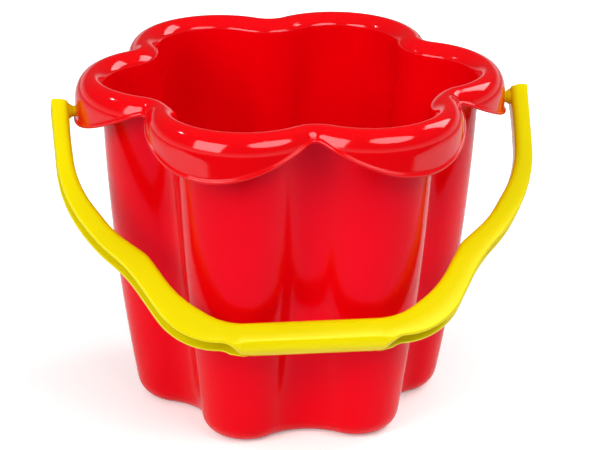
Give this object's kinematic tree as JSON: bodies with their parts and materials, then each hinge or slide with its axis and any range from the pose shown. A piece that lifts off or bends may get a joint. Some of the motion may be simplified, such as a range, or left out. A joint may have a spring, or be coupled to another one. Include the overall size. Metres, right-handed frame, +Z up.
{
  "type": "sand bucket",
  "caption": "Petal-shaped child's sand bucket with a rolled rim, a scalloped skirt and a swing handle on snap-in pins.",
  "frame": {"origin": "middle of the floor's underside, where the bucket stands", "axes": "+Z up, +X along the handle's pivot line, and the lowered handle lies on the -Y side"},
  "size_m": [0.2314, 0.1944, 0.1676],
  "materials": {
    "bucket_plastic": "red injection-moulded plastic, glossy on the rim and satin on the body",
    "handle_plastic": "yellow injection-moulded plastic, satin"
  },
  "bodies": {
    "bucket": {"bucket": "bucket_plastic"},
    "handle": {"handle": "handle_plastic"}
  },
  "joints": [
    {"name": "handle_pivot", "type": "hinge", "parent": "bucket", "child": "handle", "pos_m": [0, 0, 0.1498], "axis": [-1, 0, 0], "range_deg": [0, 271.2]}
  ]
}
